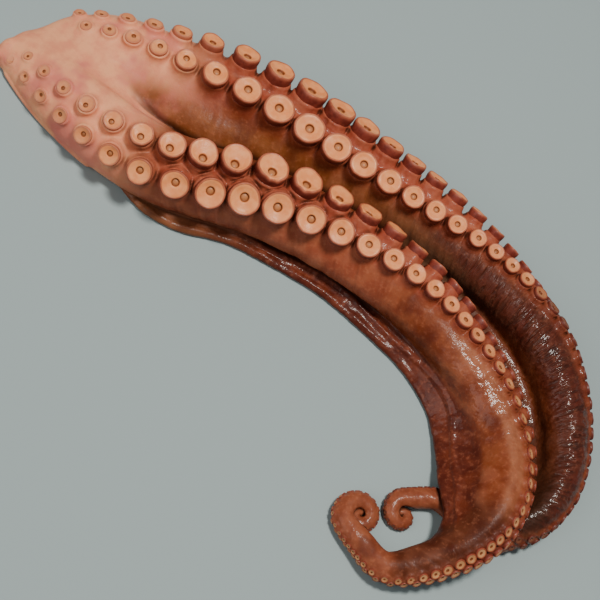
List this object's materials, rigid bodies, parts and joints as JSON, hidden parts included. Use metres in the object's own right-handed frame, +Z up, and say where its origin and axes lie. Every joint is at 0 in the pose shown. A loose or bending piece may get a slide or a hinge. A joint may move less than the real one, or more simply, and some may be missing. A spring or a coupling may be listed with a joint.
{
  "type": "cooked octopus",
  "caption": "Pair of cooked octopus arms joined at the cut base, lying suckers up side by side, bent round together with curled tips and a thin web flap along the inner side.",
  "frame": {"origin": "centre of the bounding box in plan, at the level of the surface it lies on", "axes": "+X from the cut base towards the bend, +Y away from the curled tips towards the outside of the bend, +Z up, out of the sucker side"},
  "size_m": [0.3274, 0.1671, 0.0374],
  "materials": {
    "cooked_flesh": "wet gloss"
  },
  "bodies": {
    "root": {"octopus_arms": "cooked_flesh"}
  },
  "joints": []
}
